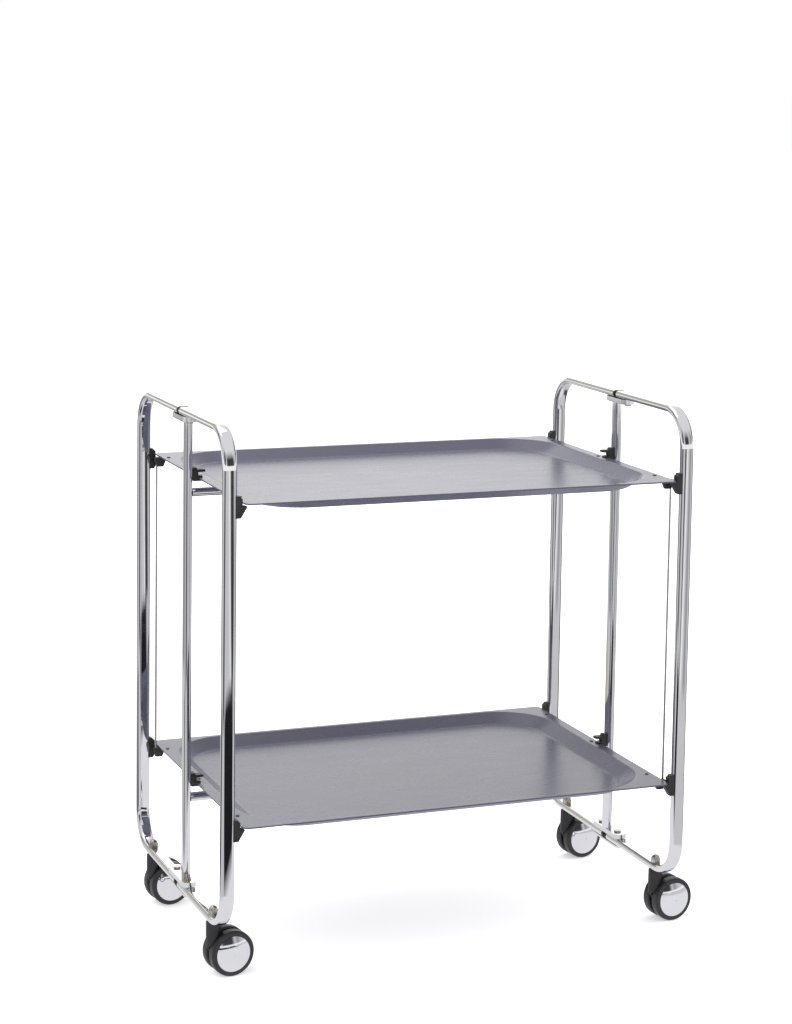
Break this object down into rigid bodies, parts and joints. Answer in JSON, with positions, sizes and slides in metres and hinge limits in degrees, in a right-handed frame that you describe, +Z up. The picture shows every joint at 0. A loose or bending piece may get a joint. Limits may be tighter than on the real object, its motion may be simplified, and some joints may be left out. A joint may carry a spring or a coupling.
{
  "type": "bar cart",
  "caption": "Folding bar cart with flat-oval tube end loops, two removable pressed trays linked by tie rods, and twin-wheel swivel casters.",
  "frame": {"origin": "on the floor, below the middle of the box that holds the cart with all casters trailing towards +X", "axes": "+X along the cart, from the left end loop to the right one; +Y from the front long side to the rear one; +Z up"},
  "size_m": [0.7268, 0.44, 0.7487],
  "materials": {
    "chrome_tube": "bright chrome plating on flat-oval steel tube",
    "bracket_steel": "plated pressed steel brackets",
    "fastener_steel": "plated steel pins, stems and nuts",
    "tray_enamel": "satin lilac-grey enamel",
    "black_plastic": "moulded black plastic with a fine grain",
    "tyre_black": "smooth black tyre",
    "cap_chrome": "bright domed hub cap",
    "rod_steel": "drawn steel rod"
  },
  "bodies": {
    "frame": {"left_post": "chrome_tube", "right_post": "chrome_tube", "upper_rail": "chrome_tube", "lower_rail": "chrome_tube", "top_channels": "bracket_steel", "bottom_channels": "bracket_steel", "pivot_plates": "bracket_steel", "hinge_pins": "fastener_steel"},
    "front_left_half": {"front_left_loop": "chrome_tube", "front_left_end_plugs": "black_plastic", "front_left_tray_catches": "black_plastic", "front_left_caster_stem": "fastener_steel"},
    "front_left_caster": {"front_left_caster_housing": "black_plastic", "front_left_axle": "fastener_steel"},
    "front_left_outer_wheel_set": {"front_left_outer_wheel": "tyre_black", "front_left_outer_cap": "cap_chrome"},
    "front_left_inner_wheel_set": {"front_left_inner_wheel": "tyre_black", "front_left_inner_cap": "cap_chrome"},
    "rear_left_half": {"rear_left_loop": "chrome_tube", "rear_left_end_plugs": "black_plastic", "rear_left_tray_catches": "black_plastic", "rear_left_caster_stem": "fastener_steel"},
    "rear_left_caster": {"rear_left_caster_housing": "black_plastic", "rear_left_axle": "fastener_steel"},
    "rear_left_outer_wheel_set": {"rear_left_outer_wheel": "tyre_black", "rear_left_outer_cap": "cap_chrome"},
    "rear_left_inner_wheel_set": {"rear_left_inner_wheel": "tyre_black", "rear_left_inner_cap": "cap_chrome"},
    "front_right_half": {"front_right_loop": "chrome_tube", "front_right_end_plugs": "black_plastic", "front_right_tray_catches": "black_plastic", "front_right_caster_stem": "fastener_steel"},
    "front_right_caster": {"front_right_caster_housing": "black_plastic", "front_right_axle": "fastener_steel"},
    "front_right_outer_wheel_set": {"front_right_outer_wheel": "tyre_black", "front_right_outer_cap": "cap_chrome"},
    "front_right_inner_wheel_set": {"front_right_inner_wheel": "tyre_black", "front_right_inner_cap": "cap_chrome"},
    "rear_right_half": {"rear_right_loop": "chrome_tube", "rear_right_end_plugs": "black_plastic", "rear_right_tray_catches": "black_plastic", "rear_right_caster_stem": "fastener_steel"},
    "rear_right_caster": {"rear_right_caster_housing": "black_plastic", "rear_right_axle": "fastener_steel"},
    "rear_right_outer_wheel_set": {"rear_right_outer_wheel": "tyre_black", "rear_right_outer_cap": "cap_chrome"},
    "rear_right_inner_wheel_set": {"rear_right_inner_wheel": "tyre_black", "rear_right_inner_cap": "cap_chrome"},
    "upper_tray_set": {"upper_tray": "tray_enamel", "upper_latches": "black_plastic", "upper_tray_rivets": "black_plastic", "upper_rod_clips": "black_plastic", "tie_rods": "rod_steel"},
    "lower_tray_set": {"lower_tray": "tray_enamel", "lower_latches": "black_plastic", "lower_tray_rivets": "black_plastic", "lower_rod_clips": "black_plastic"}
  },
  "joints": [
    {"name": "front_left_half_swing", "type": "hinge", "parent": "frame", "child": "front_left_half", "pos_m": [-0.3527, -0.026, 0.4], "axis": [0, 0, -1], "range_deg": [0, 10]},
    {"name": "front_left_caster_swivel", "type": "hinge", "parent": "front_left_half", "child": "front_left_caster", "pos_m": [-0.3527, -0.148, 0.065], "axis": [0, 0, 1], "continuous": true},
    {"name": "front_left_outer_wheel_spin", "type": "hinge", "parent": "front_left_caster", "child": "front_left_outer_wheel_set", "pos_m": [-0.33042, -0.14487, 0.031], "axis": [0.1392, -0.9903, 0], "continuous": true},
    {"name": "front_left_inner_wheel_spin", "type": "hinge", "parent": "front_left_caster", "child": "front_left_inner_wheel_set", "pos_m": [-0.33042, -0.14487, 0.031], "axis": [0.1392, -0.9903, 0], "continuous": true},
    {"name": "rear_left_half_swing", "type": "hinge", "parent": "frame", "child": "rear_left_half", "pos_m": [-0.3527, 0.026, 0.4], "axis": [0, 0, 1], "range_deg": [0, 10]},
    {"name": "rear_left_caster_swivel", "type": "hinge", "parent": "rear_left_half", "child": "rear_left_caster", "pos_m": [-0.3527, 0.148, 0.065], "axis": [0, 0, 1], "continuous": true},
    {"name": "rear_left_outer_wheel_spin", "type": "hinge", "parent": "rear_left_caster", "child": "rear_left_outer_wheel_set", "pos_m": [-0.33042, 0.15113, 0.031], "axis": [0.1392, -0.9903, 0], "continuous": true},
    {"name": "rear_left_inner_wheel_spin", "type": "hinge", "parent": "rear_left_caster", "child": "rear_left_inner_wheel_set", "pos_m": [-0.33042, 0.15113, 0.031], "axis": [0.1392, -0.9903, 0], "continuous": true},
    {"name": "front_right_half_swing", "type": "hinge", "parent": "frame", "child": "front_right_half", "pos_m": [0.3087, -0.026, 0.4], "axis": [0, 0, 1], "range_deg": [0, 10]},
    {"name": "front_right_caster_swivel", "type": "hinge", "parent": "front_right_half", "child": "front_right_caster", "pos_m": [0.3087, -0.148, 0.065], "axis": [0, 0, 1], "continuous": true},
    {"name": "front_right_outer_wheel_spin", "type": "hinge", "parent": "front_right_caster", "child": "front_right_outer_wheel_set", "pos_m": [0.33098, -0.14487, 0.031], "axis": [0.1392, -0.9903, 0], "continuous": true},
    {"name": "front_right_inner_wheel_spin", "type": "hinge", "parent": "front_right_caster", "child": "front_right_inner_wheel_set", "pos_m": [0.33098, -0.14487, 0.031], "axis": [0.1392, -0.9903, 0], "continuous": true},
    {"name": "rear_right_half_swing", "type": "hinge", "parent": "frame", "child": "rear_right_half", "pos_m": [0.3087, 0.026, 0.4], "axis": [0, 0, -1], "range_deg": [0, 10]},
    {"name": "rear_right_caster_swivel", "type": "hinge", "parent": "rear_right_half", "child": "rear_right_caster", "pos_m": [0.3087, 0.148, 0.065], "axis": [0, 0, 1], "continuous": true},
    {"name": "rear_right_outer_wheel_spin", "type": "hinge", "parent": "rear_right_caster", "child": "rear_right_outer_wheel_set", "pos_m": [0.33098, 0.15113, 0.031], "axis": [0.1392, -0.9903, 0], "continuous": true},
    {"name": "rear_right_inner_wheel_spin", "type": "hinge", "parent": "rear_right_caster", "child": "rear_right_inner_wheel_set", "pos_m": [0.33098, 0.15113, 0.031], "axis": [0.1392, -0.9903, 0], "continuous": true},
    {"name": "upper_tray_lift", "type": "slide", "parent": "frame", "child": "upper_tray_set", "axis": [0, 0, 1], "range_m": [0, 0.11]},
    {"name": "lower_tray_lift", "type": "slide", "parent": "frame", "child": "lower_tray_set", "axis": [0, 0, 1], "range_m": [0, 0.11]}
  ],
  "couplings": [
    {"joint": "lower_tray_lift", "follows": "upper_tray_lift", "ratio": 1}
  ]
}
